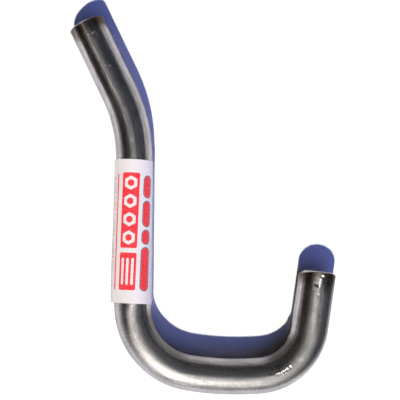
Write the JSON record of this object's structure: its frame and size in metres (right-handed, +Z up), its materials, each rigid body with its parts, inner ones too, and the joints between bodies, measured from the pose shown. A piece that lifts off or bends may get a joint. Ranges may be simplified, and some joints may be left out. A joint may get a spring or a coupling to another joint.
{
  "type": "bent-bar hook",
  "caption": "J-shaped hook bent from round bright steel bar, with a cranked upper arm, a bowed bottom, chamfered cut ends and a printed label wrapped round the shank.",
  "frame": {"origin": "middle of the bounding box seen from above, on the surface that the hook lies on", "axes": "+Z up, square to the plane of the bends; +Y along the shank towards the upper arm; +X from the shank towards the tip"},
  "size_m": [0.0932, 0.1318, 0.0131],
  "materials": {
    "bright_steel": "bright drawn bar, fine lengthwise grain, handling marks and bender marks",
    "label_paper": null
  },
  "bodies": {
    "root": {"hook_bar": "bright_steel", "wrap_label": "label_paper"}
  },
  "joints": []
}
